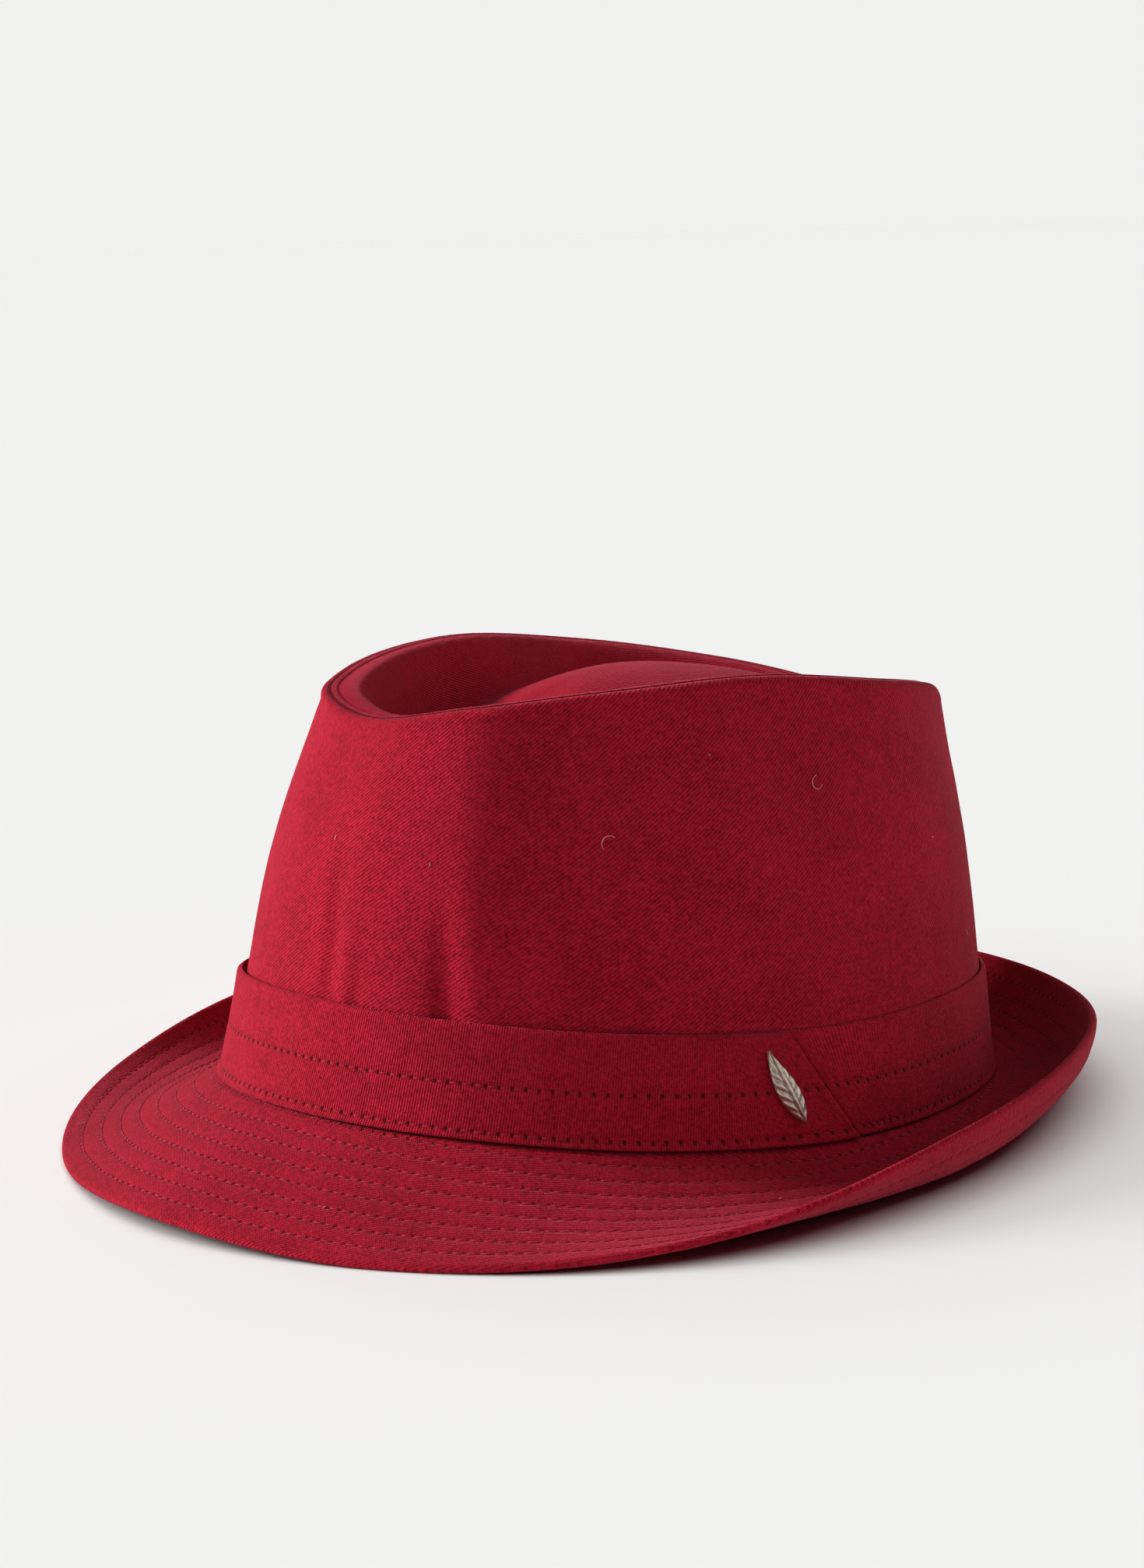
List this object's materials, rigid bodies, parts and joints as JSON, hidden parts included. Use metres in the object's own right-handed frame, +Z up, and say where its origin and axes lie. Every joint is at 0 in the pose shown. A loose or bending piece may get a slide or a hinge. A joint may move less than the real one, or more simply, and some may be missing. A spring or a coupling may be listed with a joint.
{
  "type": "trilby hat",
  "caption": "Soft cotton trilby with a teardrop crown, a lapped cloth band with a small leaf pin, and a short brim, snapped down in front and turned up behind.",
  "frame": {"origin": "centre of the hat's box at the table it rests on", "axes": "+Z up, the front of the hat towards -Y, the wearer's left towards +X"},
  "size_m": [0.2438, 0.2662, 0.1129],
  "materials": {
    "brim_twill": "matt dark red cotton twill, stitched in rows",
    "side_twill": "matt dark red cotton twill",
    "tip_twill": "matt dark red cotton twill",
    "band_twill": "matt dark red cotton twill with two stitch rows",
    "pin_metal": "worn pewter-coloured cast metal"
  },
  "bodies": {
    "root": {"brim": "brim_twill", "crown_side": "side_twill", "crown_tip": "tip_twill", "hat_band": "band_twill", "band_pin": "pin_metal"}
  },
  "joints": []
}
